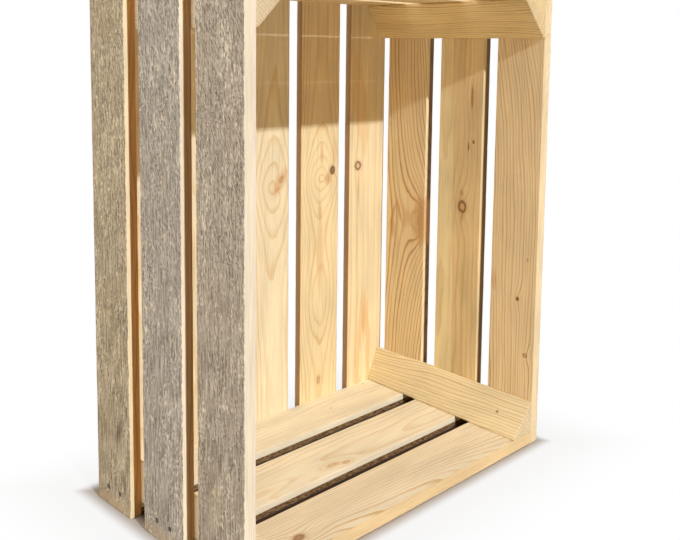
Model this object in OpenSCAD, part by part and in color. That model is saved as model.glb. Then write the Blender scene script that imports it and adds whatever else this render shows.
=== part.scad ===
// Slatted wooden crate for kindling, nailed together from sawn boards on four corner posts.
// It stands on one of its short ends, with its open side facing -Y and its floor boards at +Y.
// Origin: middle of the footprint, on the surface that it stands on. Millimetres.

/* [Crate] */
// Height of the crate as it stands, which is the length of its side and floor boards
crate_h = 500; // [400:1:700]
// Width over the two side walls
crate_w = 416; // [390:1:600]
// Depth of the four walls, from the open side to the floor boards
wall_depth = 231.5; // [205:0.5:300]

/* [Board thickness] */
// Thickness of the six side boards
side_t = 12; // [8:0.5:16]
// Thickness of the six end boards
end_t = 13; // [8:0.5:20]
// Thickness of the floor boards
floor_t = 8.5; // [5:0.5:14]

/* [Left wall] */
// Width of the left board nearest the open side
left_front_w = 61.5; // [45:0.5:75]
// Width of the middle left board
left_middle_w = 61; // [45:0.5:75]
// Slot between the front and middle left boards
left_front_slot = 21.5; // [10:0.5:30]
// Slot between the middle and back left boards
left_back_slot = 23.5; // [10:0.5:30]
// Distance from the back left board to the floor boards
left_setback = 7; // [1:0.5:12]

/* [Right wall] */
// Width of the right board nearest the open side
right_front_w = 59.5; // [45:0.5:75]
// Width of the middle right board
right_middle_w = 61.5; // [45:0.5:75]
// Slot between the front and middle right boards
right_front_slot = 18; // [10:0.5:30]
// Slot between the middle and back right boards
right_back_slot = 20.5; // [10:0.5:30]
// Distance from the back right board to the floor boards
right_setback = 10.5; // [1:0.5:14]

/* [Upper and lower ends] */
// Width of the end board nearest the open side
end_front_w = 64; // [50:0.5:75]
// Width of the middle end board
end_middle_w = 63.5; // [50:0.5:75]
// Slot between the front and middle end boards
end_front_slot = 20.5; // [10:0.5:26]
// Slot between the middle end board and the one that the floor boards are nailed to
end_back_slot = 21; // [10:0.5:26]

/* [Floor] */
// Width of the two floor boards nearest the left wall
floor_wide_w = 71.4; // [55:0.1:80]
// Width of the other three floor boards
floor_narrow_w = 61.3; // [54:0.1:72]
// Distance from each side of the crate to the nearest floor board
floor_edge = 8.3; // [4:0.1:20]

/* [Corner posts] */
// Leg of both left posts along the end boards
left_post_w = 41; // [32:0.5:60]
// Leg of both left posts along the side boards
left_post_h = 40; // [32:0.5:60]
// Leg of the upper right post along the end boards, at the open side
upper_post_front_w = 38; // [32:0.5:60]
// Leg of the upper right post along the end boards, at the floor boards
upper_post_back_w = 29; // [24:0.5:60]
// Leg of the upper right post along the side boards
upper_post_h = 40.5; // [32:0.5:60]
// Leg of the lower right post along the end boards, at the open side
lower_post_front_w = 34; // [30:0.5:60]
// Leg of the lower right post along the end boards, at the floor boards
lower_post_back_w = 18.5; // [17:0.5:60]
// Leg of the lower right post along the side boards, at the open side
lower_post_front_h = 36.5; // [30:0.5:60]
// Leg of the lower right post along the side boards, at the floor boards
lower_post_back_h = 43.5; // [30:0.5:60]

/* [Nails] */
// Length of a nail from the top of its head to its point
nail_len = 28; // [22:0.5:29]
// Diameter of a nail's shank
nail_d = 2; // [1.4:0.1:2.6]
// Diameter of a nail's head
nail_head_d = 5; // [3.5:0.1:6]
// Thickness of a nail's head
nail_head_t = 1.2; // [0.8:0.1:2]
// Depth of a nail's head below the face of the board
nail_sink = 0.3; // [0:0.1:0.8]
// Distance between the two nails at each end of a side board
side_nail_spread = 20; // [14:0.5:24]
// Distance from an end board's inner face to the axis of a side board's nail
side_nail_rise = 4.5; // [3:0.5:6]
// Distance from an end board's edges to the axes of its nails
end_nail_edge = 12; // [9:0.5:15]
// Least distance between the axes of two nails that pass each other in a post
nail_apart = 3.5; // [3:0.1:5]
// Distance from a side board's inner face to the axis of an end board's nail
end_nail_inset = 8; // [6:0.5:9]
// Distance between the two nails at each end of a floor board
floor_nail_spread = 24; // [16:0.5:28]
// Clearance between a nail and the hole that it has made
nail_fit = 0.1; // [0.02:0.01:0.2]

/* [Hidden] */

weathered = [0.60, 0.55, 0.47];
pine = [0.88, 0.74, 0.50];
pale_pine = [0.91, 0.79, 0.57];
steel = [0.42, 0.40, 0.38];
nail_sides = 24;
post_cuts = 10;
point_len = 1.5 * nail_d;
cut_past = 0.5;

// Outer limits: the open side is at y_open, the outside of the floor boards at y_outer
depth = wall_depth + floor_t;
x_left = -crate_w / 2;
x_right = crate_w / 2;
y_open = -depth / 2;
y_floor = y_open + wall_depth;
y_outer = depth / 2;
x_left_in = x_left + side_t;
x_right_in = x_right - side_t;
z_low_in = end_t;
z_high_in = crate_h - end_t;

// The three boards of a wall, from the open side: each entry is [distance from it, width].
// The back board takes the width that the others and their slots leave.
function wall_rows(front_w, middle_w, front_slot, back_slot, setback) =
    let (back_start = front_w + front_slot + middle_w + back_slot)
    [[0, front_w], [front_w + front_slot, middle_w], [back_start, wall_depth - setback - back_start]];
left_rows = wall_rows(left_front_w, left_middle_w, left_front_slot, left_back_slot, left_setback);
right_rows = wall_rows(right_front_w, right_middle_w, right_front_slot, right_back_slot, right_setback);
end_rows = wall_rows(end_front_w, end_middle_w, end_front_slot, end_back_slot, 0);

// The floor boards, from the left wall: equal gaps share what the boards leave
floor_widths = [floor_wide_w, floor_wide_w, floor_narrow_w, floor_narrow_w, floor_narrow_w];
floor_gaps = len(floor_widths) - 1;
function width_before(i) = i == 0 ? 0 : width_before(i - 1) + floor_widths[i - 1];
floor_gap = (crate_w - 2 * floor_edge - width_before(len(floor_widths))) / floor_gaps;
function floor_x(i) = x_left + floor_edge + width_before(i) + i * floor_gap;

// Where the nails enter, as [place on the board's outer face, turn that points them inwards]
function row_mid(row) = y_open + row[0] + row[1] / 2;
function side_spots(rows, i, x, turn) = [
    for (z = [z_low_in + side_nail_rise, z_high_in - side_nail_rise])
        for (s = [-0.5, 0.5])
            [[x, row_mid(rows[i]) + s * side_nail_spread, z], turn]];
// The end boards' nails keep clear of the side boards' nails, which pass them in the posts
function side_places(rows) = [for (row = rows, s = [-0.5, 0.5]) row_mid(row) + s * side_nail_spread];
function clear_place(y, taken) =
    let (near = [for (place = taken) if (abs(y - place) < nail_apart) place])
    len(near) == 0 ? y : near[0] + (y < near[0] ? -nail_apart : nail_apart);
function end_spots(i, z, turn) =
    let (first = y_open + end_rows[i][0] + end_nail_edge)
    let (second = y_open + end_rows[i][0] + end_rows[i][1] - end_nail_edge)
    let (left_taken = side_places(left_rows), right_taken = side_places(right_rows)) [
    for (y = [first, second])
        each [[[x_left_in + end_nail_inset, clear_place(y, left_taken), z], turn],
              [[x_right_in - end_nail_inset, clear_place(y, right_taken), z], turn]]];
function floor_spots(i, z) = [
    for (s = [-0.5, 0.5])
        [[floor_x(i) + floor_widths[i] / 2 + s * floor_nail_spread, y_outer, z], [-90, 0, 0]]];
function left_spots(i) = side_spots(left_rows, i, x_left, [0, -90, 0]);
function right_spots(i) = side_spots(right_rows, i, x_right, [0, 90, 0]);
function lower_spots(i) = end_spots(i, 0, [180, 0, 0]);
function upper_spots(i) = end_spots(i, crate_h, [0, 0, 0]);
function joined(lists) = [for (part = lists) each part];
left_nail_spots = joined([for (i = [0:2]) left_spots(i)]);
right_nail_spots = joined([for (i = [0:2]) right_spots(i)]);
lower_nail_spots = joined([for (i = [0:2]) lower_spots(i)]);
upper_nail_spots = joined([for (i = [0:2]) upper_spots(i)]);
z_low_floor_nail = end_t / 2;
z_high_floor_nail = crate_h - end_t / 2;
floor_low_spots = joined([for (i = [0:floor_gaps]) floor_spots(i, z_low_floor_nail)]);
floor_high_spots = joined([for (i = [0:floor_gaps]) floor_spots(i, z_high_floor_nail)]);

// One nail, driven down along -Z from a face at z = 0
module nail() {
    translate([0, 0, -nail_sink - nail_head_t])
        cylinder(h = nail_head_t, d = nail_head_d, $fn = nail_sides);
    translate([0, 0, point_len - nail_len])
        cylinder(h = nail_len - point_len - nail_sink, d = nail_d, $fn = nail_sides);
    translate([0, 0, -nail_len])
        cylinder(h = point_len, d1 = 0, d2 = nail_d, $fn = nail_sides);
}

// The hole that a nail has made: its own form with the clearance all round
module nail_hole() {
    translate([0, 0, -nail_sink - nail_head_t])
        cylinder(h = nail_sink + nail_head_t + cut_past, d = nail_head_d + 2 * nail_fit, $fn = nail_sides);
    translate([0, 0, -nail_len - nail_fit])
        cylinder(h = nail_len, d = nail_d + 2 * nail_fit, $fn = nail_sides);
}

module at_spots(spots) {
    for (spot = spots)
        translate(spot[0])
            rotate(spot[1])
                children();
}

module nails(spots) {
    color(steel)
        at_spots(spots)
            nail();
}

// A sawn board between two opposite corners, with its nail holes
module board(low, high, spots) {
    difference() {
        translate(low)
            cube(high - low);
        at_spots(spots)
            nail_hole();
    }
}

module left_board(i) {
    y = y_open + left_rows[i][0];
    color(weathered)
        board([x_left, y, 0], [x_left_in, y + left_rows[i][1], crate_h], left_spots(i));
}

module right_board(i) {
    y = y_open + right_rows[i][0];
    color(pine)
        board([x_right_in, y, 0], [x_right, y + right_rows[i][1], crate_h], right_spots(i));
}

// The floor boards' nails go into the back edge of the last end board only
module lower_board(i, more_spots = []) {
    y = y_open + end_rows[i][0];
    color(pale_pine)
        board([x_left_in, y, 0], [x_right_in, y + end_rows[i][1], z_low_in],
              concat(lower_spots(i), more_spots));
}

module upper_board(i, more_spots = []) {
    y = y_open + end_rows[i][0];
    color(pine)
        board([x_left_in, y, z_high_in], [x_right_in, y + end_rows[i][1], crate_h],
              concat(upper_spots(i), more_spots));
}

module floor_board(i) {
    x = floor_x(i);
    color(pale_pine)
        board([x, y_floor, 0], [x + floor_widths[i], y_outer, crate_h],
              concat(floor_spots(i, z_low_floor_nail), floor_spots(i, z_high_floor_nail)));
}

// A three-sided stick from the open side to the floor boards, whose legs may differ at its two ends.
// The legs start at its corner edge and run towards +X and +Z. Its sloping face winds evenly from
// one end to the other, so it is cut into short lengths: section k starts with point 3 * k.
module stick(front_w, front_h, back_w, back_h) {
    cuts = front_w == back_w && front_h == back_h ? 1 : post_cuts;
    sections = [
        for (k = [0:cuts])
            let (t = k / cuts, y = t * wall_depth)
            let (w = front_w + t * (back_w - front_w), h = front_h + t * (back_h - front_h))
            each [[0, y, 0], [w, y, 0], [0, y, h]]];
    sides = [
        for (k = [0:cuts - 1])
            let (a = 3 * k, b = a + 3)
            each [[a, b, b + 1, a + 1], [a, a + 2, b + 2, b], [a + 1, b + 1, a + 2], [a + 2, b + 1, b + 2]]];
    last = 3 * cuts;
    polyhedron(points = sections, faces = concat([[0, 1, 2], [last, last + 2, last + 1]], sides));
}

// A corner post in its corner, where side and end are the directions from the corner into the crate
module post(corner, side, end, front_w, front_h, back_w, back_h, spots) {
    color(pale_pine)
        difference() {
            translate([corner[0], y_open, corner[1]])
                scale([side, 1, end])
                    stick(front_w, front_h, back_w, back_h);
            at_spots(spots)
                nail_hole();
        }
}

module post_lower_left() {
    post([x_left_in, z_low_in], 1, 1, left_post_w, left_post_h, left_post_w, left_post_h,
         concat(left_nail_spots, lower_nail_spots));
}

module post_upper_left() {
    post([x_left_in, z_high_in], 1, -1, left_post_w, left_post_h, left_post_w, left_post_h,
         concat(left_nail_spots, upper_nail_spots));
}

module post_lower_right() {
    post([x_right_in, z_low_in], -1, 1,
         lower_post_front_w, lower_post_front_h, lower_post_back_w, lower_post_back_h,
         concat(right_nail_spots, lower_nail_spots));
}

module post_upper_right() {
    post([x_right_in, z_high_in], -1, -1,
         upper_post_front_w, upper_post_h, upper_post_back_w, upper_post_h,
         concat(right_nail_spots, upper_nail_spots));
}

left_board(0);  // left_board_front
left_board(1);  // left_board_middle
left_board(2);  // left_board_back
right_board(0);  // right_board_front
right_board(1);  // right_board_middle
right_board(2);  // right_board_back
lower_board(0);  // lower_board_front
lower_board(1);  // lower_board_middle
lower_board(2, floor_low_spots);  // lower_board_back
upper_board(0);  // upper_board_front
upper_board(1);  // upper_board_middle
upper_board(2, floor_high_spots);  // upper_board_back
floor_board(0);  // floor_board_1
floor_board(1);  // floor_board_2
floor_board(2);  // floor_board_3
floor_board(3);  // floor_board_4
floor_board(4);  // floor_board_5
post_lower_left();
post_lower_right();
post_upper_left();
post_upper_right();
nails(left_nail_spots);  // left_wall_nails
nails(right_nail_spots);  // right_wall_nails
nails(lower_nail_spots);  // lower_end_nails
nails(upper_nail_spots);  // upper_end_nails
nails(floor_low_spots);  // floor_nails_lower
nails(floor_high_spots);  // floor_nails_upper
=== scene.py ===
"""Slatted kindling crate: weathered sawn boards nailed to three-sided corner posts.

Lengths are in millimetres until a mesh is made. Wood coordinates are (across, through, along) a board,
measured from its middle; the growth rings, knots, fibres and weathering all come from them, so the faces,
edges and end grain of a board belong to one piece of wood.
"""
import math

import bpy
import numpy as np
from mathutils import Matrix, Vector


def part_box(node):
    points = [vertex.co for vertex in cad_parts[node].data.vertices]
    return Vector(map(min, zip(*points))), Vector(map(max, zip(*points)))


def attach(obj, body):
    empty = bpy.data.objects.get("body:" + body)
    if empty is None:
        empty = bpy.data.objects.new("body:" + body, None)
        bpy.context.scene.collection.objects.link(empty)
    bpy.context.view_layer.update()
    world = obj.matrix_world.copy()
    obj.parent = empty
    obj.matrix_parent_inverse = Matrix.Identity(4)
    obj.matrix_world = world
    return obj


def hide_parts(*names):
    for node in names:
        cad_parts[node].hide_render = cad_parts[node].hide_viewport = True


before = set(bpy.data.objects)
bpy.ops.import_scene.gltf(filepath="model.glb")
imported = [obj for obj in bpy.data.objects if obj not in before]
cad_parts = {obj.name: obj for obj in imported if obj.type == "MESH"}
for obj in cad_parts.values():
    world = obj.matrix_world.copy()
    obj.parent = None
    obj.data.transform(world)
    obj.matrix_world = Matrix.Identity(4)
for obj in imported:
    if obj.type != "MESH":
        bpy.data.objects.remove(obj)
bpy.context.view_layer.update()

X, Y, Z = 0, 1, 2
SCENE = bpy.context.scene
WHITE = (1.0, 1.0, 1.0, 1.0)

# The crate's outer size in mm: half of its width, half of its depth, and its height
HALF_WIDTH, HALF_DEPTH, HEIGHT = 208.0, 120.0, 500.0


# ---------------------------------------------------------------- camera and lamps

# Place in metres, angles in degrees, lens and sensor in millimetres
CAMERA_PLACE = (-0.60362, -0.61959, 0.42988)
CAMERA_YAW, CAMERA_PITCH, CAMERA_ROLL = 44.79, -6.11, 0.65
CAMERA_LENS, CAMERA_SENSOR, CAMERA_SHIFT = 45.614, 36.0, -0.1839

# The point that the lamps look at, in metres
LIT_POINT = np.array([0.0, 0.0, 0.25])
# Lamp name: direction from the lit point, distance and width in metres, power in watts, colour
LAMPS = {
    "key": ((-0.172, -1.0, 0.628), 20.0, 0.45, 3000.0, (0.95, 0.99, 1.08)),
    "fill": ((-1.0, 0.08, 0.40), 2.4, 1.6, 19.5, (0.92, 0.98, 1.06)),
}
# The room's light in front and behind, and where one turns into the other, as the Y part of a direction
ROOM_FRONT = (0.31, 0.16, 0.03, 1.0)
ROOM_BACK = (0.60, 0.57, 0.53, 1.0)
ROOM_CHANGE = (-0.15, 0.6)


def matrix_from_axes(right, up, forward, place):
    """The world matrix of a camera or lamp at `place` that looks along `forward`."""
    columns = [list(right), list(up), [-c for c in forward]]
    turn = Matrix([[columns[c][r] for c in range(3)] for r in range(3)]).to_4x4()
    return Matrix.Translation(place) @ turn


def add_camera():
    """The photograph's camera: it looks slightly down from the left of the open side."""
    yaw, pitch, roll = (math.radians(a) for a in (CAMERA_YAW, CAMERA_PITCH, CAMERA_ROLL))
    forward = np.array([math.sin(yaw) * math.cos(pitch), math.cos(yaw) * math.cos(pitch), math.sin(pitch)])
    level = np.array([math.cos(yaw), -math.sin(yaw), 0.0])
    upright = np.cross(level, forward)
    right = level * math.cos(roll) + upright * math.sin(roll)
    up = upright * math.cos(roll) - level * math.sin(roll)
    data = bpy.data.cameras.new("camera")
    data.sensor_width = CAMERA_SENSOR
    data.lens = CAMERA_LENS
    data.shift_y = CAMERA_SHIFT
    camera = bpy.data.objects.new("camera", data)
    camera.matrix_world = matrix_from_axes(right, up, forward, CAMERA_PLACE)
    SCENE.collection.objects.link(camera)
    SCENE.camera = camera


def add_softbox(name, toward, distance, width, power, colour):
    """A square lamp that looks at the middle of the crate from the direction `toward`."""
    toward = np.array(toward) / np.linalg.norm(toward)
    level = np.cross((0.0, 0.0, 1.0), toward)
    level /= np.linalg.norm(level)
    data = bpy.data.lights.new(name, "AREA")
    data.shape = "SQUARE"
    data.size = width
    data.energy = power
    data.color = colour
    lamp = bpy.data.objects.new(name, data)
    place = toward * distance + LIT_POINT
    lamp.matrix_world = matrix_from_axes(level, np.cross(toward, level), -toward, place)
    SCENE.collection.objects.link(lamp)


# ---------------------------------------------------------------- shader nodes by short formulas

class Value:
    """A socket's value inside a formula."""

    def __init__(self, graph, socket):
        self.graph, self.socket = graph, socket

    def __add__(self, other):
        return self.graph.math("ADD", self, other)

    __radd__ = __add__

    def __sub__(self, other):
        return self.graph.math("SUBTRACT", self, other)

    def __rsub__(self, other):
        return self.graph.math("SUBTRACT", other, self)

    def __mul__(self, other):
        return self.graph.math("MULTIPLY", self, other)

    __rmul__ = __mul__

    def __truediv__(self, other):
        return self.graph.math("DIVIDE", self, other)

    def __neg__(self):
        return self * -1.0


class Graph:
    """Builds the nodes of one material or world."""

    def __init__(self, owner):
        owner.use_nodes = True
        self.owner = owner
        self.nodes, self.links = owner.node_tree.nodes, owner.node_tree.links
        self.shader = self.nodes.get("Principled BSDF")

    def feed(self, socket, value):
        if isinstance(value, Value):
            self.links.new(value.socket, socket)
        else:
            socket.default_value = value

    def add(self, kind, inputs, out=0, **settings):
        node = self.nodes.new("ShaderNode" + kind)
        for key, value in settings.items():
            setattr(node, key, value)
        for key, value in inputs.items():
            self.feed(node.inputs[key], value)
        return Value(self, node.outputs[out])

    def math(self, operation, *values):
        return self.add("Math", dict(enumerate(values)), operation=operation)

    def root(self, value):
        return self.math("SQRT", value)

    def floor(self, value):
        return self.math("FLOOR", value)

    def vector(self, a, b, c):
        return self.add("CombineXYZ", {0: a, 1: b, 2: c})

    def noise(self, a, b, c, detail=2.0, roughness=0.5):
        """Soft noise around 0, mostly within -0.25 to 0.25."""
        inputs = {"Vector": self.vector(a, b, c), "Scale": 1.0, "Detail": detail, "Roughness": roughness}
        return self.add("TexNoise", inputs) - 0.5

    def step(self, value, low, high):
        """0 at low and 1 at high, with a smooth change between."""
        inputs = {"Value": value, "From Min": low, "From Max": high}
        return self.add("MapRange", inputs, interpolation_type="SMOOTHSTEP")

    def mix(self, factor, a, b):
        return self.add("Mix", {0: factor, 6: a, 7: b}, out=2, data_type="RGBA")

    def shade(self, colour, factor):
        """A colour made lighter or darker by a factor around 1."""
        return self.add("VectorMath", {0: colour, "Scale": factor}, operation="SCALE")

    def coordinates(self, kind):
        """The three parts of a texture coordinate."""
        split = self.nodes.new("ShaderNodeSeparateXYZ")
        self.feed(split.inputs[0], self.add("TexCoord", {}, out=kind))
        return [Value(self, split.outputs[i]) for i in range(3)]

    def position(self):
        """The three row coordinates in millimetres."""
        return [part * 1000.0 for part in self.coordinates("Object")]

    def seen_directly(self):
        """1 for rays from the camera, and for those that mirrors and glass show."""
        node = self.nodes.new("ShaderNodeLightPath")
        camera, glossy, through = (Value(self, node.outputs[f"Is {kind} Ray"])
                                   for kind in ("Camera", "Glossy", "Transmission"))
        return self.math("MINIMUM", camera + glossy + through, 1.0)

    def bump(self, height, distance):
        return self.add("Bump", {"Height": height, "Distance": distance, "Strength": 1.0})

    def finish(self, colour, roughness, normal, specular=0.15, metallic=0.0):
        self.feed(self.shader.inputs["Base Color"], colour)
        self.feed(self.shader.inputs["Roughness"], roughness)
        self.feed(self.shader.inputs["Normal"], normal)
        self.shader.inputs["Specular IOR Level"].default_value = specular
        self.shader.inputs["Metallic"].default_value = metallic
        return self.owner


def tone(red, green, blue):
    """An sRGB colour, 0 to 255, as the linear colour that a node takes."""
    linear = [c / 3294.6 if c <= 10.31 else ((c / 255 + 0.055) / 1.055) ** 2.4 for c in (red, green, blue)]
    return (*linear, 1.0)


# ---------------------------------------------------------------- wood

# sRGB colours: the grey outside as (dark fibre, light fibre, tint), and marks on either kind of face. Of the
# three grey marks, the middle one is painted shade beside the pale flecks; the last two colours make a
# darker, mottled band on a front edge.
GREY_OUTSIDE = ((136, 124, 106), (210, 198, 176), (172, 154, 128))
GREY_STAIN, GREY_PAINTED_SHADE, GREY_FLECK = (84, 76, 60), (100, 90, 74), (234, 228, 218)
FRESH_FOOT = (196, 170, 132)
HEARTWOOD = (216, 170, 106)
KNOT_STAIN = (204, 142, 80)
END_GRAIN = (214, 192, 152)
EDGE_BAND_DARK, EDGE_BAND_LIGHT = (92, 62, 34), (160, 130, 92)

# Metres of relief for a height of 1 in a wood's bump
WOOD_BUMP = 0.00022
# Steps by which the noise moves from one seed to the next, on sawn and on weathered faces
WOOD_SHIFT, GREY_SHIFT = 13.7, 7.31


class Bend:
    """Moves the growth rings by `push` mm at (across, along), fading over `wide` and `long` mm around it.

    The rings bend there in a smooth curve, or to a point if `sharp`.
    """

    def __init__(self, across, along, push, wide, long, sharp=False):
        self.across, self.along, self.push = across, along, push
        self.wide, self.long, self.sharp = wide, long, sharp


class Knot:
    """A knot at (across, along), mm, with the opacity of its rim, its inside and the stain around it.

    It is `stretch` times longer along the grain, and leans by `tilt`.
    """

    def __init__(self, across, along, radius, stretch=1.3, rim=0.6, fill=0.6, stain=0.25,
                 inside=(168, 114, 66), bark=(98, 68, 40), tilt=0.0):
        self.across, self.along, self.radius, self.stretch, self.tilt = across, along, radius, stretch, tilt
        self.rim, self.fill, self.stain, self.inside, self.bark = rim, fill, stain, inside, bark


def stain(across, along, radius, stretch, opacity, tilt=0.0):
    """A soft brown stain, without a knot in it."""
    return Knot(across, along, radius, stretch, rim=0.0, fill=0.0, stain=opacity, tilt=tilt)


class Wood:
    """The look of one board or post.

    `early` and `late` are the colours of the two parts of a growth ring, and the rings lie `gap` mm apart
    around a line through `pith` (across, through) that leans by `lean`. `slow` and `wave` bend them in long
    and short waves. `streak`, `blotch` and `fuzz` are the strengths of fibres, clouds and roughness.
    `weathered` is the colours of the grey outside, and `slant` how far its torn fibres lean and the least
    share of them. `heart` is where darker heartwood starts and how it leans, and `edge` colours the narrow
    faces; on the floor boards that colour is painted shade. `brown` is the two colours of painted shade on
    the front edge, apart from its left 4 mm, where the board in front casts its shadow, and the last argument
    is how far a darker, mottled band covers that edge, in mm from the outer face.
    """

    def __init__(self, seed, early, late, pith=(0.0, 25.0), lean=(0.0, 0.0), gap=3.5, slow=8.0, wave=1.2,
                 contrast=1.0, streak=0.13, blotch=0.10, fuzz=0.10, bends=(), knots=(),
                 weathered=GREY_OUTSIDE, slant=(0.5, 0.3), heart=None, edge=None, brown=None, edge_band=0.0):
        self.seed, self.early, self.late, self.pith, self.lean, self.gap = seed, early, late, pith, lean, gap
        self.slow, self.wave, self.contrast, self.streak, self.blotch = slow, wave, contrast, streak, blotch
        self.fuzz, self.bends, self.knots, self.weathered, self.slant = fuzz, bends, knots, weathered, slant
        self.heart, self.edge, self.brown, self.edge_band = heart, edge, brown, edge_band


def weathered_face(g, wood, a, t, l, from_foot):
    """Colour and height of a grey face: fibres along the grain, torn patches aslant, pale flecks, and painted
    shade in dark spots just beside the flecks.
    """
    s = wood.seed * GREY_SHIFT
    slant, low_share = wood.slant
    patch = g.noise(a / 16.0 + s, 0.7, l / 45.0 - s, 2.0)
    share = g.step(l + patch * 500.0, -170.0, 90.0) * (1.0 - low_share) + low_share
    along = g.noise(a / 1.6 + s, t / 3.0, l / 26.0, 3.0, 0.75)
    torn = g.noise((a - l * slant) / 1.8 + s, t / 3.0, (l + a * slant) / 8.0, 3.0, 0.75)
    fibre = along * (1.0 - share * 0.4) + torn * share * 0.7
    loose = g.step(patch, -0.05, 0.15) * 0.7 + 0.3
    fleck = g.step(g.noise((a - l * slant) / 1.9 - s, t / 3.0, l / 2.9, 1.0), 0.12, 0.19) * loose
    # Painted shade: the fleck pattern moved 1.6 mm across and 1.4 mm along, painted dark and sunk, so that
    # each fleck looks raised
    painted_shade_spot = g.step(g.noise((a + 1.6 - l * slant) / 1.9 - s, t / 3.0, (l + 1.4) / 2.9, 1.0), 0.11, 0.18) * loose
    cloud = g.noise(a / 22.0 + s, 0.3, l / 40.0, 3.0)
    dark, light, tint = (tone(*c) for c in wood.weathered)
    colour = g.mix(g.step(fibre, -0.14, 0.14), dark, light)
    colour = g.mix(g.step(cloud, -0.05, 0.25) * 0.6, colour, tint)
    foot = 1.0 - g.step(from_foot + fibre * 18.0, 6.0, 16.0)
    colour = g.mix(foot * 0.55, colour, tone(*FRESH_FOOT))
    for knot in wood.knots:
        dl = l - knot.along
        da = a - knot.across + dl * 0.25
        spot = g.math("EXPONENT", -(da * da + dl * dl / knot.stretch ** 2) / knot.radius ** 2)
        colour = g.mix(spot * knot.stain, colour, tone(*GREY_STAIN))
    # The painted shade beside the flecks, then the pale flecks themselves
    colour = g.mix(painted_shade_spot * 0.75, colour, tone(*GREY_PAINTED_SHADE))
    colour = g.mix(fleck * 0.75, colour, tone(*GREY_FLECK))
    height = fibre * 1.2 + fleck * 0.5 - painted_shade_spot * 0.7
    return colour, height


def growth_rings(g, wood, a, t, l, wobble):
    """The dark late wood of the rings around a leaning pith line, bent by noise and by knots."""
    s = wood.seed * WOOD_SHIFT
    side = a - l * wood.lean[0] - wood.pith[0]
    deep = t - l * wood.lean[1] - wood.pith[1]
    ring = g.root(side * side + deep * deep)
    ring = ring + g.noise(a / 45.0 + s, t / 45.0, l / 150.0, 1.0) * wood.slow * 2.0
    ring = ring + g.noise(a / 15.0 - s, t / 15.0, l / 60.0, 1.0) * wood.wave * 2.0 + wobble * 0.8
    for bend in wood.bends:
        da, dl = a - bend.across, l - bend.along
        spread = da * da / bend.wide ** 2 + dl * dl / bend.long ** 2
        ring = ring + g.math("EXPONENT", -(g.root(spread) if bend.sharp else spread)) * bend.push
    ring = ring / wood.gap
    ring = ring + g.noise(ring * 0.45, s, 0.0, 1.0) * 1.1
    part = g.math("FRACT", ring)
    strength = g.add("TexWhiteNoise", {"W": g.floor(ring) + s}, noise_dimensions="1D") * 0.6 + 0.4
    return g.step(part, 0.50, 0.93) * (1.0 - g.step(part, 0.94, 1.0)) * strength


def add_knot(g, knot, a, l, wobble, colour, height):
    """Colour and height with a knot in them: its stain, its turned inside and its bark rim."""
    dl = l - knot.along
    da = a - knot.across - dl * knot.tilt
    dl = dl / knot.stretch
    reach = g.root(da * da + dl * dl) / knot.radius + wobble * 0.7
    halo = 1.0 - g.step(reach, 0.7, 2.3)
    inside = 1.0 - g.step(reach, 0.75, 1.05)
    rim = g.step(reach, 0.45, 0.75) * (1.0 - g.step(reach, 1.0, 1.35))
    turns = g.math("SINE", reach * knot.radius * 3.2) * (0.12 if knot.rim else 0.0) + 0.95
    colour = g.mix(halo * knot.stain, colour, tone(*KNOT_STAIN))
    colour = g.mix(inside * knot.fill, colour, g.shade(tone(*knot.inside)[:3], turns))
    colour = g.mix(rim * knot.rim, colour, tone(*knot.bark))
    return colour, height + inside * knot.fill * 0.3 - rim * 0.4 * knot.rim


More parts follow.
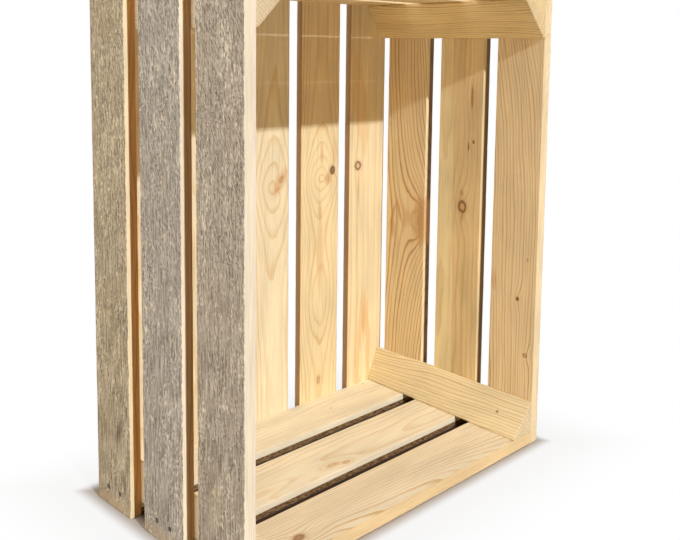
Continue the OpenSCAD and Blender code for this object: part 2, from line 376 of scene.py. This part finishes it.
def wood_material(name, wood, order, centre, half, outer):
    """`order` is the row axes of (across, through, along), and `outer` the sign of the grey side, or 0."""
    g = Graph(bpy.data.materials.new(name))
    row = g.position()
    a, t, l = (row[axis] - float(centre[axis]) for axis in order)
    half_across, half_through, half_along = (float(half[axis]) for axis in order)
    s = wood.seed * WOOD_SHIFT
    wobble = g.noise(a / 5.0 + s, t / 5.0, l / 22.0, 2.0)
    late = growth_rings(g, wood, a, t, l, wobble)
    narrow = g.step(g.math("ABSOLUTE", a), half_across - 1.0, half_across - 0.3)

    # Long fibres, soft clouds and short dark pores
    streak = g.noise(a / 0.8 + s, t / 0.8, l / 45.0, 3.0, 0.6)
    cloud = g.noise(a / 24.0 - s, t / 24.0, l / 90.0, 2.0)
    pore = g.step(g.noise(a / 0.6 - s, t / 0.6, l / 7.0, 1.0), -0.18, -0.30)
    colour = g.mix(late * (1.0 - narrow * 0.75) * wood.contrast, tone(*wood.early), tone(*wood.late))
    if wood.heart:
        heartwood = g.step(wood.heart[0] + l * wood.heart[1] - a + wobble * 4.0, -1.0, 1.5)
        colour = g.mix(heartwood * 0.32, colour, tone(*HEARTWOOD))
    # On the floor boards this colour of the narrow faces is painted shade
    if wood.edge:
        colour = g.mix(narrow * 0.8, colour, tone(*wood.edge))
    # Painted shade: the front edge beyond its first 4 to 5 mm from the -x side is painted in the two brown
    # colours, as the shadow of the board in front
    if wood.brown:
        front = g.step(-a, half_across - 1.0, half_across - 0.3)
        front = front * g.step(t, 4.0 - half_through, 5.2 - half_through)
        colour = g.mix(front * 0.9, colour, g.mix(late, *(tone(*c) for c in wood.brown)))
    colour = g.shade(colour, 1.0 + streak * wood.streak * 4.0 + cloud * wood.blotch * 4.0 - pore * 0.12)
    height = streak * 1.2 + late * 0.25 - pore * 0.5
    for knot in wood.knots:
        colour, height = add_knot(g, knot, a, l, wobble, colour, height)

    # End grain: duller, with open pores instead of long fibres
    ends = g.step(g.math("ABSOLUTE", l), half_along - 0.45, half_along - 0.2)
    pits = g.noise(a / 0.7, t / 0.7, s, 2.0)
    colour = g.mix(ends * 0.35, colour, tone(*END_GRAIN))
    colour = g.shade(colour, 1.0 + ends * pits * 0.5)
    height = height + ends * pits * 1.5
    height = height + g.noise(a / 1.6 + s, t / 1.6, l / 3.0, 2.0) * wood.fuzz * 10.0
    roughness = 0.62 + streak * 0.3

    if outer:
        grey, rough_height = weathered_face(g, wood, a, t, l, l + half_along)
        edge = g.noise(a / 1.5 + s, t / 1.5, l / 4.0, 2.0) * 1.6
        skin = g.step(t * float(outer) + edge, half_through - 0.9, half_through - 0.35)
        colour = g.mix(skin, colour, grey)
        height = height * (1.0 - skin) + rough_height * skin * 3.2
        roughness = roughness + skin * 0.2
    if wood.edge_band:
        # A darker, mottled brown band on the front edge, next to the outer face
        band_noise = g.noise(a / 4.0, t / 1.6 + l / 9.0, l / 5.0 + s, 3.0, 0.65)
        inner_end = half_through - wood.edge_band
        bark = g.step(t * float(outer) + band_noise * 1.6, inner_end - 0.5, inner_end + 0.3)
        bark = bark * g.step(-a, half_across - 2.4, half_across - 1.6)
        colour = g.mix(bark, colour, g.mix(g.step(band_noise, -0.18, 0.18), tone(*EDGE_BAND_DARK), tone(*EDGE_BAND_LIGHT)))
        height = height + bark * band_noise * 5.0
        roughness = roughness + bark * 0.2
    return g.finish(colour, roughness, g.bump(height, WOOD_BUMP))


# ---------------------------------------------------------------- shapes

# Grid steps through a board, in mm: with a darker band on its front edge, and without
EDGE_BAND_STEP, THROUGH_STEP = 1.5, 4.0
# How much deeper that band lies than the sawn edge, in mm
EDGE_BAND_DEPTH = 0.6
# Smallest and largest radius of a board's arrises, in mm
ARRIS_RADII = (0.25, 1.75)
# Distances from a board's edge of the grid lines that round its arrises, in mm
ARRIS_LINES = (0.0, 0.25, 0.6, 1.1, 1.8)


def lattice_noise(points, seed):
    """Smooth seeded noise from -1 to 1; a unit of `points` is one cell."""
    table = np.random.default_rng(seed).uniform(-1.0, 1.0, 4096)
    cell = np.floor(points).astype(np.int64)
    part = points - cell
    part = part * part * (3.0 - 2.0 * part)
    total = np.zeros(len(points))
    for corner in np.ndindex(2, 2, 2):
        c = cell + corner
        slot = (c[:, 0] * 73856093 ^ c[:, 1] * 19349663 ^ c[:, 2] * 83492791) % 4096
        total += table[slot] * np.prod(np.where(corner, part, 1.0 - part), axis=1)
    return total


def grid_lines(low, high, step):
    """Places along one axis, closer together near both ends for the rounded arrises."""
    near = np.array(ARRIS_LINES[:-1])
    inner = ARRIS_LINES[-1]
    middle = np.linspace(low + inner, high - inner, max(2, round((high - low) / step)))
    return np.concatenate([low + near, middle, high - near[::-1]])


def box_skin(lines):
    """Points and quads of the surface of a box that is divided by lines along its three axes."""
    count = [len(line) for line in lines]
    skin = np.zeros(count, bool)
    skin[[0, -1]] = skin[:, [0, -1]] = skin[:, :, [0, -1]] = True
    index = np.full(count, -1)
    index[skin] = np.arange(skin.sum())
    points = np.stack(np.meshgrid(*lines, indexing="ij"), -1)[skin]
    quads = []
    for axis in range(3):
        for end in (0, -1):
            g = np.take(index, end, axis)
            quad = np.stack([g[:-1, :-1], g[1:, :-1], g[1:, 1:], g[:-1, 1:]], -1).reshape(-1, 4)
            quads.append(quad[:, ::-1] if (end == 0) != (axis == 1) else quad)
    return points, np.concatenate(quads)


def tube_faces(rings, sides, capped=True):
    """Faces from a first point through rings of points, and on to a last point if `capped`."""
    pairs = [(j, (j + 1) % sides) for j in range(sides)]
    faces = [[0, 1 + j, 1 + k] for j, k in pairs]
    last = 1 + (rings - 1) * sides
    for start in range(1, last, sides):
        after = start + sides
        faces += [[start + j, after + j, after + k, start + k] for j, k in pairs]
    if capped:
        faces += [[last + j, last + sides, last + k] for j, k in pairs]
    return faces


def joined(shapes):
    """One shape from several (points, faces)."""
    points, faces, count = [], [], 0
    for some_points, some_faces in shapes:
        points.append(some_points)
        faces += [[i + count for i in face] for face in some_faces]
        count += len(some_points)
    return np.concatenate(points), faces


def new_piece(name, points, faces, material):
    mesh = bpy.data.meshes.new(name)
    mesh.from_pydata((np.asarray(points) / 1000.0).tolist(), [], [list(f) for f in faces])
    mesh.materials.append(material)
    piece = bpy.data.objects.new(name, mesh)
    SCENE.collection.objects.link(piece)
    return piece


def board_shape(low, high, order, outer, seed, step, rough, edge_band):
    """A sawn board: rounded and chipped arrises, and a rough outer face. Everything is worn inwards."""
    across, through, along = order
    steps = {across: step, through: EDGE_BAND_STEP if edge_band else THROUGH_STEP, along: step * 1.6}
    points, quads = box_skin([grid_lines(low[i], high[i], steps[i]) for i in range(3)])

    def outwards():
        """How far out each point lies, from -1 on the inner face to 1 on the outer one."""
        return outer * (points[:, through] - (low + high)[through] / 2) / (high - low)[through] * 2.0

    def relief(cell_across, cell_through, cell_along, layer):
        """Noise at the points, with cells of this size in mm; each layer has a seed of its own."""
        size = np.zeros(3)
        size[across], size[through], size[along] = cell_across, cell_through, cell_along
        return lattice_noise(points / size, seed + layer)

    wear = relief(5.0, 5.0, 16.0, 0)
    chip = np.clip(relief(2.25, 2.25, 7.2, 1) - 0.35, 0.0, 1.0)
    radius = 0.5 + 0.25 * wear + 0.5 * chip + np.clip(outwards() * 2.0, 0.0, 1.0) * (0.3 + 1.4 * chip) * rough
    radius = np.clip(radius, *ARRIS_RADII)[:, None]
    core = np.clip(points, low + radius, high - radius)
    away = points - core
    points = core + away * radius / np.linalg.norm(away, axis=1, keepdims=True)

    # The outer face sinks unevenly, in ridges along the grain
    ridges = (0.5 + 0.5 * relief(3.0, 3.0, 11.0, 2)) * 0.4 * rough
    waves = (0.5 + 0.5 * relief(14.0, 3.0, 40.0, 3)) * 0.3
    points[:, through] -= outer * (ridges + waves) * np.clip((outwards() - 0.7) / 0.3, 0.0, 1.0)
    if edge_band:
        outer_face = low[through] if outer < 0 else high[through]
        below = edge_band - abs(points[:, through] - outer_face)
        depth = np.clip(below / 0.8, 0.0, 1.0) * EDGE_BAND_DEPTH * (1.0 + 0.5 * relief(9.0, 9.0, 9.0, 4))
        points[:, across] += depth * np.clip(1.4 - (points[:, across] - low[across]) / 12.0, 0.0, 1.0)
    return points, quads


def rounded_triangle(w, h, tip, corner):
    """A post's outline: legs w and h from its corner, with arcs of radius `tip` and `corner` on its edges."""

    def arc(at, before, after, radius, count):
        """Points of the arc that rounds the edge `at` between its neighbours."""
        at, before, after = (np.array(p, float) for p in (at, before, after))
        one = (before - at) / np.linalg.norm(before - at)
        two = (after - at) / np.linalg.norm(after - at)
        half_angle = math.acos(float(one @ two)) / 2
        middle = at + (one + two) / np.linalg.norm(one + two) * radius / math.sin(half_angle)
        first = at + one * radius / math.tan(half_angle) - middle
        last = at + two * radius / math.tan(half_angle) - middle
        turn = math.acos(float(first @ last) / radius ** 2)
        return [middle + (first * math.sin((1 - k) * turn) + last * math.sin(k * turn)) / math.sin(turn)
                for k in np.linspace(0, 1, count)]

    corners = [(0.0, 0.0), (w, 0.0), (0.0, h)]
    arcs = [arc(corners[i], corners[i - 1], corners[(i + 1) % 3], (corner, tip, tip)[i], (3, 5, 5)[i])
            for i in range(3)]
    outline = []
    for i, count in enumerate((9, 14, 9)):
        outline += arcs[i]
        start, end = arcs[i][-1], arcs[(i + 1) % 3][0]
        outline += [start + (end - start) * k for k in np.linspace(0, 1, count + 1)[1:-1]]
    return np.array(outline)


# Rings of points on a post's end faces, as shares of its outline
END_RINGS = (0.8, 0.55, 0.25)
# Radii of a post in mm: of its two blunt tips, of the edge in its corner, and around its ends
TIP_RADIUS, CORNER_RADIUS, END_RADIUS = 1.3, 0.35, 0.6
# What a post's legs have more than their size, in mm, because the blunting takes it off again
TIP_LENGTH = 0.9


def post_shape(front, back, length, seed):
    """A three-sided stick along the second axis, whose two legs change evenly from `front` to `back`."""
    rings = []
    for y in grid_lines(0.0, length, 5.0):
        t = y / length
        w, h = (front[i] + t * (back[i] - front[i]) + TIP_LENGTH for i in range(2))
        blunt = TIP_RADIUS + 0.3 * lattice_noise(np.array([[y / 14.0, 0.5, 0.5]]), seed)[0]
        outline = rounded_triangle(w, h, blunt, CORNER_RADIUS)
        # Near both ends the outline shrinks towards its middle, which is about 9 mm inside it
        gap = max(0.0, END_RADIUS - min(y, length - y))
        shrink = END_RADIUS - math.sqrt(END_RADIUS ** 2 - gap * gap)
        centre = np.array([w, h]) / 3.4
        outline = centre + (outline - centre) * (1.0 - shrink / 9.0)
        rings.append(np.column_stack([outline[:, 0], np.full(len(outline), y), outline[:, 1]]))
    inner = []
    for ring in (rings[0], rings[-1]):
        centre = ring.mean(axis=0)
        inner.append([centre + (ring - centre) * share for share in END_RINGS] + [centre[None, :]])
    points = np.concatenate(inner[0][::-1] + rings + inner[1])
    return points, tube_faces(len(rings) + 2 * len(END_RINGS), len(rings[0]))


def turned(profile, sides, place, axis, spin=0.0):
    """A closed solid of revolution from (radius, height) pairs, on and off the axis at both ends."""
    axis = np.array(axis, float)
    one = np.cross(axis, (0.3, 0.5, 0.8))
    one /= np.linalg.norm(one)
    two = np.cross(axis, one)
    angles = spin + np.arange(sides) * 2 * math.pi / sides
    points = [np.array(place) + axis * profile[0][1]]
    for radius, height in profile[1:-1]:
        for angle in angles:
            points.append(place + axis * height + (one * math.cos(angle) + two * math.sin(angle)) * radius)
    points.append(np.array(place) + axis * profile[-1][1])
    return np.array(points), tube_faces(len(profile) - 2, sides)


# ---------------------------------------------------------------- nails

# Where the nails are, in mm: levels (z) or places (x), and the offset from a board's middle
# or the margin to its edge
WALL_NAIL_LEVELS, WALL_NAIL_OFFSET = (17.5, 482.5), 10
END_NAIL_PLACES, END_NAIL_MARGIN = (("left", -188), ("right", 188)), 12
FLOOR_NAIL_LEVELS, FLOOR_NAIL_OFFSET = (("lower", 6.5), ("upper", 493.5)), 12
# The least distance between the axes of crossing nails
NAIL_CLEARANCE = 3.5

# Profiles as (radius, height above the board's outer face), from the head to the tip, and points around them
NAIL = [(0, -0.12), (0.8, -0.13), (1.6, -0.18), (2.2, -0.28), (2.45, -0.45), (2.5, -0.75), (2.5, -1.3),
        (2.3, -1.5), (1.05, -1.6), (1.0, -2.0), (1.0, -25.0), (0.55, -26.6), (0, -28.0)]
HOLE_DEPTH = 28.1
NAIL_HOLE = [(0, 1.0), (2.6, 1.0), (2.6, -1.5), (1.1, -1.6), (1.1, -28.05), (0, -HOLE_DEPTH)]
NAIL_SIDES, HOLE_SIDES = 24, 16


def box_mm(node):
    """A CAD node's lowest and highest corner, in mm."""
    low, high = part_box(node)
    return np.array(low) * 1000.0, np.array(high) * 1000.0


def middle(node, axis):
    low, high = box_mm(node)
    return (low[axis] + high[axis]) / 2


def clear_place(y, taken):
    """The place y, moved where a nail there would come too near one that crosses it."""
    near = [place for place in taken if abs(y - place) < NAIL_CLEARANCE]
    return near[0] + math.copysign(NAIL_CLEARANCE, y - near[0] + 1e-9) if near else y


def nail_spots():
    """For each group of nails, where each enters and the direction that its head faces."""
    spots = {}
    rows = ("front", "middle", "back")
    for wall, sign in (("left", -1), ("right", 1)):
        spots[wall + "_wall_nails"] = [
            ((sign * HALF_WIDTH, middle(f"{wall}_board_{row}", Y) + offset, z), (sign, 0, 0))
            for row in rows for z in WALL_NAIL_LEVELS for offset in (-WALL_NAIL_OFFSET, WALL_NAIL_OFFSET)]
    for end, z, sign in (("lower", 0.0, -1), ("upper", HEIGHT, 1)):
        spots[end + "_end_nails"] = []
        for row in rows:
            low, high = box_mm(f"{end}_board_{row}")
            for wall, x in END_NAIL_PLACES:
                taken = [place[1] for place, _ in spots[wall + "_wall_nails"]]
                spots[end + "_end_nails"] += [
                    ((x, clear_place(y, taken), z), (0, 0, sign))
                    for y in (low[Y] + END_NAIL_MARGIN, high[Y] - END_NAIL_MARGIN)]
    for end, z in FLOOR_NAIL_LEVELS:
        spots["floor_nails_" + end] = [
            ((middle(f"floor_board_{i}", X) + offset, HALF_DEPTH, z), (0, 1, 0))
            for i in range(1, 6) for offset in (-FLOOR_NAIL_OFFSET, FLOOR_NAIL_OFFSET)]
    return spots


def cut_nail_holes(piece, spots):
    """Takes the nails' holes out of a board or post."""
    low = np.array([v.co for v in piece.data.vertices]).min(axis=0) * 1000.0
    high = np.array([v.co for v in piece.data.vertices]).max(axis=0) * 1000.0
    holes = []
    for group in spots.values():
        for place, axis in group:
            ends = np.array([place, np.array(place) - np.array(axis) * HOLE_DEPTH])
            if np.all(ends.max(axis=0) > low - 1.0) and np.all(ends.min(axis=0) < high + 1.0):
                holes.append(turned(NAIL_HOLE, HOLE_SIDES, place, axis))
    cutter = new_piece("cutter", *joined(holes), piece.data.materials[0])
    cut = piece.modifiers.new("holes", "BOOLEAN")
    cut.operation, cut.solver, cut.object = "DIFFERENCE", "MANIFOLD", cutter
    apply_modifiers(piece)
    bpy.data.objects.remove(cutter)


def apply_modifiers(piece):
    """Puts what a piece's modifiers make into its mesh."""
    bpy.context.view_layer.update()
    graph = bpy.context.evaluated_depsgraph_get()
    mesh = bpy.data.meshes.new_from_object(piece.evaluated_get(graph))
    piece.modifiers.clear()
    piece.data = mesh


# Edges that turn by more than this stay sharp
SHARP_ANGLE = math.radians(40)


def settle(piece, node):
    """Shades a finished piece and puts it in its CAD node's place."""
    piece.data.shade_smooth()
    piece.data.set_sharp_from_angle(angle=SHARP_ANGLE)
    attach(piece, "root")
    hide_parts(node)


# sRGB colours, and metres of relief for a height of 1
STEEL, RUST = (92, 88, 82), (78, 50, 32)
STEEL_BUMP = 0.0001


def nail_material():
    g = Graph(bpy.data.materials.new("nail_steel"))
    x, y, z = g.position()
    rust = g.step(g.noise(x / 1.4, y / 1.4, z / 1.4, 3.0), -0.08, 0.16)
    speck = g.noise(x / 0.4, y / 0.4, z / 0.4, 2.0)
    colour = g.mix(rust, tone(*STEEL), tone(*RUST))
    colour = g.shade(colour, 1.0 + speck * 0.8)
    return g.finish(colour, 0.42 + rust * 0.3, g.bump(speck, STEEL_BUMP), specular=0.5, metallic=0.75)


def add_nails(spots):
    material = nail_material()
    for group, places in spots.items():
        nails = [turned(NAIL, NAIL_SIDES, place, axis, spin=k * 0.7)
                 for k, (place, axis) in enumerate(places)]
        piece = new_piece(group + "_steel", *joined(nails), material)
        settle(piece, group)


# ---------------------------------------------------------------- the crate's woods

# sRGB colours of the early and the late wood
PALE = ((243, 228, 190), (218, 182, 116))
LOWER = ((251, 241, 212), (222, 184, 122))
WARM = ((251, 231, 186), (200, 142, 82))
FRESH = ((246, 235, 209), (230, 207, 164))
# The same of the front edges' painted shade, and the floor boards' narrow faces as painted shade
ORANGE_EDGE = ((198, 142, 76), (158, 104, 48))
DULL_EDGE = ((120, 96, 64), (92, 70, 44))
SHADED_EDGE = (176, 130, 80)

WOODS = {
    # Left wall: fresh edges, grey torn outer faces, and painted shade on the front edges of the middle and
    # back boards
    "left_board_front": Wood(
        1, *FRESH, pith=(14, 30), gap=3.6, contrast=0.8,
        weathered=((130, 118, 101), (211, 199, 178), (174, 158, 136)), slant=(0.5, 0.2)),
    "left_board_middle": Wood(
        2, *FRESH, pith=(-10, 34), gap=3.4, contrast=0.8, brown=((166, 124, 74), (128, 90, 50)),
        weathered=((130, 121, 107), (208, 199, 184), (164, 154, 140)), slant=(0.45, 0.1)),
    "left_board_back": Wood(
        3, (246, 230, 190), (232, 202, 150), pith=(6, 28), gap=3.2, contrast=0.8, brown=ORANGE_EDGE,
        weathered=((132, 116, 90), (213, 198, 168), (168, 146, 112)), slant=(0.3, 0.1),
        knots=[stain(-9, -175, 4.0, 2.6, 0.65)]),
    # Right wall: knotty boards with a strong grain, and painted shade on the front edges of the middle and
    # back boards
    "right_board_front": Wood(
        4, *WARM, pith=(72, 26), gap=3.4, slow=7, contrast=0.75, fuzz=0.16,
        bends=[Bend(0, 250, 26, 200, 110), Bend(-6.5, -90, 3, 7, 14), Bend(-20, -153, 3, 8, 12)],
        knots=[Knot(-6.5, -90, 1.7, 1.2, rim=0.7, fill=0.8, stain=0.3, inside=(130, 92, 54)),
               Knot(-18.5, -152, 2.2, 0.9, rim=0.6, fill=0.3, stain=0.3, inside=(226, 190, 140)),
               stain(26, -75, 2.6, 2.6, 0.3),
               Knot(-18, -44, 0.8, 2.6, rim=0.3, fill=0.5, stain=0.1)]),
    "right_board_middle": Wood(
        5, (254, 238, 190), (200, 146, 84), pith=(26, 40), gap=4.2, slow=7, contrast=0.4, blotch=0.14,
        heart=(8.5, 0.018), brown=DULL_EDGE,
        bends=[Bend(-5.5, 3, 6, 12, 24), Bend(-16, 132, 3, 8, 20), Bend(-14, 76, 2, 7, 14)],
        knots=[Knot(-5.5, 3, 5.4, 1.15, rim=0.72, fill=0.75, stain=0.35, inside=(222, 184, 134),
                    bark=(122, 82, 46)),
               Knot(-4.2, 19, 2.0, 1.6, rim=0.0, fill=0.3, stain=0.35),
               Knot(-5.5, -9, 1.2, 3.0, rim=0.3, fill=0.2, stain=0.3),
               Knot(-16, 131, 1.5, 8.0, rim=0.2, fill=0.6, stain=0.25, inside=(160, 108, 60)),
               Knot(-19.2, 80, 1.3, 1.4, rim=0.7, fill=0.7, stain=0.2, inside=(140, 92, 50)),
               Knot(-12.4, 74, 1.0, 4.5, rim=0.3, fill=0.7, stain=0.2, inside=(140, 92, 50))]),
    "right_board_back": Wood(
        6, *WARM, pith=(-90, 10), gap=4.6, slow=6, wave=1.0, contrast=0.85, brown=DULL_EDGE,
        bends=[Bend(-26, -24, 62, 34, 70, True)],
        knots=[Knot(-27, -22, 14.0, 2.4, rim=0.0, fill=0.7, stain=0.12, inside=(226, 186, 132)),
               Knot(-25, -22, 4.5, 5.5, rim=0.0, fill=0.45, stain=0.1, inside=(206, 162, 110)),
               stain(10, -14, 1.6, 6.0, 0.6, tilt=0.3),
               stain(20, -20, 1.6, 6.0, 0.5, tilt=-0.3),
               stain(20, -38, 2.4, 3.0, 0.4)]),
    # Floor: pale boards with long pointed grain, and narrow faces in painted shade
    "floor_board_1": Wood(
        7, *PALE, edge=SHADED_EDGE, pith=(6, 30), lean=(0.02, 0.03), gap=4.0, contrast=0.5),
    "floor_board_2": Wood(
        8, *PALE, edge=SHADED_EDGE, pith=(-12, 26), lean=(0.0, -0.03), gap=3.8, contrast=0.5),
    "floor_board_3": Wood(
        9, *PALE, edge=SHADED_EDGE, pith=(8, 28), gap=3.8, slow=3, wave=0.8, contrast=0.55,
        bends=[Bend(9, 28, -16, 70, 55, True), Bend(18, 32, 5, 7, 14)],
        knots=[Knot(17, 33, 5.4, 1.9, rim=0.0, fill=0.35, stain=0.4, inside=(222, 174, 112), tilt=0.5),
               Knot(19.5, 37, 2.8, 1.4, rim=0.25, fill=0.5, stain=0.0, inside=(196, 146, 88), tilt=0.5,
                    bark=(164, 118, 66)),
               Knot(13.5, 25.5, 2.4, 1.6, rim=0.0, fill=0.5, stain=0.0, inside=(204, 152, 92), tilt=0.5)]),
    "floor_board_4": Wood(
        10, (241, 221, 174), (216, 176, 108), edge=SHADED_EDGE, pith=(2, 30), gap=3.2, slow=2, wave=0.8,
        contrast=0.75,
        bends=[Bend(5, 32, -18, 60, 40, True), Bend(20, 40, 5, 8, 10), Bend(2, -118, -7, 60, 60)],
        knots=[Knot(20, 40, 3.8, 1.3, rim=0.6, fill=0.95, stain=0.3, inside=(146, 114, 76),
                    bark=(104, 76, 44)),
               Knot(13, 31, 3.4, 1.4, rim=0.0, fill=0.1, stain=0.5),
               stain(0.5, -8, 1.6, 4.5, 0.4),
               stain(2.5, 60, 1.6, 4.5, 0.35),
               stain(1, -62, 3.2, 9.0, 0.3),
               stain(24, 66, 2.6, 4.0, 0.25),
               Knot(0, -214, 2.2, 2.2, rim=0.2, fill=0.3, stain=0.3)]),
    "floor_board_5": Wood(
        11, (242, 224, 180), (218, 180, 112), edge=SHADED_EDGE, pith=(-70, 40), gap=8, slow=3, wave=0.8,
        contrast=0.5,
        bends=[Bend(-15, 42, 4, 8, 24)],
        knots=[Knot(-12.3, 118, 13.0, 4.9, rim=0.0, fill=0.5, stain=0.0, inside=(240, 200, 136), tilt=-0.155),
               Knot(-15.2, 41.8, 4.9, 1.0, rim=0.75, fill=0.8, stain=0.3, inside=(226, 196, 152),
                    bark=(112, 80, 48)),
               Knot(-14, 14, 1.0, 14.0, rim=0.0, fill=0.3, stain=0.35, inside=(222, 168, 100)),
               Knot(-1.5, -212, 11.0, 6.8, rim=0.42, fill=0.0, stain=0.0, bark=(222, 166, 92)),
               stain(-1, -164, 1.8, 9.0, 0.3)]),
    # Ends; the middle and back lower boards have a darker, mottled band on their front edges
    "lower_board_front": Wood(
        12, *LOWER, edge=(240, 208, 148), pith=(-34, -28), lean=(0.0, -0.065), gap=2.4, slow=3, wave=0.6,
        contrast=0.9,
        bends=[Bend(-10, -130, 7, 12, 24)],
        knots=[Knot(-10, -130, 3.8, 1.5, rim=0.3, fill=0.6, stain=0.4)]),
    "lower_board_middle": Wood(
        13, *LOWER, pith=(-14, -30), lean=(0.0, 0.02), gap=4.4, contrast=0.55, edge_band=6.4,
        bends=[Bend(-19, -17, 5, 9, 22), Bend(-24, -2, 4, 9, 16), Bend(-14, -110, 5, 9, 40)],
        knots=[Knot(-19, -17, 2.6, 2.4, rim=0.2, fill=0.45, stain=0.3, inside=(232, 192, 124),
                    bark=(196, 144, 84)),
               Knot(-24.5, -2, 2.4, 1.8, rim=0.3, fill=0.5, stain=0.25, inside=(226, 184, 120),
                    bark=(186, 136, 78))]),
    "lower_board_back": Wood(
        14, *LOWER, pith=(30, -34), lean=(0.02, 0.0), gap=4.0, contrast=0.4, edge_band=6.4,
        knots=[Knot(-1, 80, 0.8, 1.5, stain=0.1),
               Knot(25, 162, 0.8, 1.5, stain=0.1)]),
    "upper_board_front": Wood(15, *WARM, pith=(10, 30), gap=3.6),
    "upper_board_middle": Wood(16, *WARM, pith=(-16, 26), gap=3.6),
    "upper_board_back": Wood(17, *WARM, pith=(4, 32), gap=4.0),
    # Posts
    "post_lower_left": Wood(18, *PALE, pith=(-30, -24), gap=3.0),
    "post_lower_right": Wood(
        19, (250, 234, 190), (210, 166, 104), pith=(40, 30), gap=3.2, wave=0.7, contrast=0.9,
        knots=[Knot(0, -82, 0.9, 1.6, stain=0.1)]),
    "post_upper_left": Wood(20, (240, 224, 188), (178, 138, 88), pith=(-52, -46), gap=2.0, slow=4, wave=0.6),
    "post_upper_right": Wood(
        21, (255, 233, 176), (204, 152, 88), pith=(-40, 34), gap=3.0, wave=1.3, contrast=0.75),
}

# First part of a board's node name: axes (across, through, along), sign of the outer side on the second
# of them, material slot, grid step in mm, and how rough its outer face and arrises are
FAMILIES = {
    "left_board": ((Y, X, Z), -1, "weathered_board", 2.0, 1.0),
    "right_board": ((Y, X, Z), 1, "inner_board", 3.2, 0.5),
    "lower_board": ((Y, Z, X), -1, "end_board", 3.6, 0.4),
    "upper_board": ((Y, Z, X), 1, "end_board", 3.6, 0.1),
    "floor_board": ((X, Y, Z), 1, "floor_board", 3.6, 0.4),
}

# A post's corner (x, z), its legs' directions, and the legs (w, h) at the open side and at the floor boards
POSTS = {
    "post_lower_left": ((-196, 13), (1, 1), (41, 40), (41, 40)),
    "post_upper_left": ((-196, 487), (1, -1), (41, 40), (41, 40)),
    "post_lower_right": ((196, 13), (-1, 1), (34, 36.5), (18.5, 43.5)),
    "post_upper_right": ((196, 487), (-1, -1), (38, 40.5), (29, 40.5)),
}


def add_boards(spots):
    for node, wood in WOODS.items():
        family = node.rsplit("_", 1)[0]
        if family not in FAMILIES:
            continue
        order, outer, slot, step, rough = FAMILIES[family]
        low, high = box_mm(node)
        material = wood_material(node + "_wood", wood, order, (low + high) / 2, (high - low) / 2, outer)
        points, quads = board_shape(low, high, order, outer, wood.seed * 10, step, rough, wood.edge_band)
        piece = new_piece(node + "_sawn", points, quads, material)
        cut_nail_holes(piece, spots)
        settle(piece, node)


def add_posts(spots):
    for node, (corner, legs, front, back) in POSTS.items():
        low, high = box_mm(node)
        points, faces = post_shape(front, back, high[Y] - low[Y], WOODS[node].seed * 10)
        points[:, 0] = corner[0] + legs[0] * points[:, 0]
        points[:, 2] = corner[1] + legs[1] * points[:, 2]
        points[:, 1] += low[Y]
        # Without a mirroring, or with two of them, the outline runs the other way round
        if legs[0] * legs[1] > 0:
            faces = [face[::-1] for face in faces]
        centre, half = (low + high) / 2, (high - low) / 2
        material = wood_material(node + "_wood", WOODS[node], (X, Z, Y), centre, half, 0)
        piece = new_piece(node + "_sawn", points, faces, material)
        cut_nail_holes(piece, spots)
        settle(piece, node)


# ---------------------------------------------------------------- stage

# The floor's level and the radii of its two rings, in mm, and the points around each
FLOOR_LEVEL = -0.3
FLOOR_RINGS = (1500.0, 40000.0)
FLOOR_SIDES = 64
# Linear colours of the floor: dark as painted shadow under the crate, and plain around it
PAINTED_SHADOW_UNDER_CRATE = (0.07, 0.05, 0.035, 1.0)
AROUND_CRATE = (0.48, 0.45, 0.41, 1.0)


def add_floor():
    """A large pale disc, painted dark as shadow under the crate. Away from the crate it fades to plain white,
    and the shadow on it fades too.
    """
    angles = np.arange(FLOOR_SIDES) * 2 * math.pi / FLOOR_SIDES
    points = [[0.0, 0.0, FLOOR_LEVEL]] + [[r * math.cos(a), r * math.sin(a), FLOOR_LEVEL]
                                          for r in FLOOR_RINGS for a in angles]
    g = Graph(bpy.data.materials.new("pale_floor"))
    x, y, _ = g.position()
    outside = g.math("MAXIMUM", g.math("ABSOLUTE", x) - HALF_WIDTH, g.math("ABSOLUTE", y) - HALF_DEPTH)
    fade = g.step(outside, -2.0, 16.0) * 0.88 + g.step(outside, 0.0, 110.0) * 0.12
    # Painted shadow: inside the crate's footprint the floor's colour is dark
    g.feed(g.shader.inputs["Base Color"], g.mix(g.step(outside, -16.0, -3.0), PAINTED_SHADOW_UNDER_CRATE, AROUND_CRATE))
    g.shader.inputs["Roughness"].default_value = 0.9
    glow = g.add("Emission", {"Color": WHITE, "Strength": 1.0})
    surface = g.add("MixShader", {0: fade * g.seen_directly(), 1: Value(g, g.shader.outputs[0]), 2: glow})
    g.feed(g.nodes["Material Output"].inputs["Surface"], surface)
    floor = new_piece("pale_floor", points, tube_faces(len(FLOOR_RINGS), FLOOR_SIDES, capped=False), g.owner)


def add_world():
    """A room that is warm in front of the crate, plain behind it, and white where the camera sees it."""
    SCENE.world = bpy.data.worlds.new("studio")
    g = Graph(SCENE.world)
    depth = g.coordinates("Generated")[Y]
    room = g.mix(g.step(depth, *ROOM_CHANGE), ROOM_FRONT, ROOM_BACK)
    g.feed(g.nodes["Background"].inputs["Color"], g.mix(g.seen_directly(), room, WHITE))


add_camera()
for lamp_name, lamp_values in LAMPS.items():
    add_softbox(lamp_name, *lamp_values)
add_world()
add_floor()
all_spots = nail_spots()
add_boards(all_spots)
add_posts(all_spots)
add_nails(all_spots)

SCENE.view_settings.view_transform = "Standard"
bpy.context.view_layer.update()
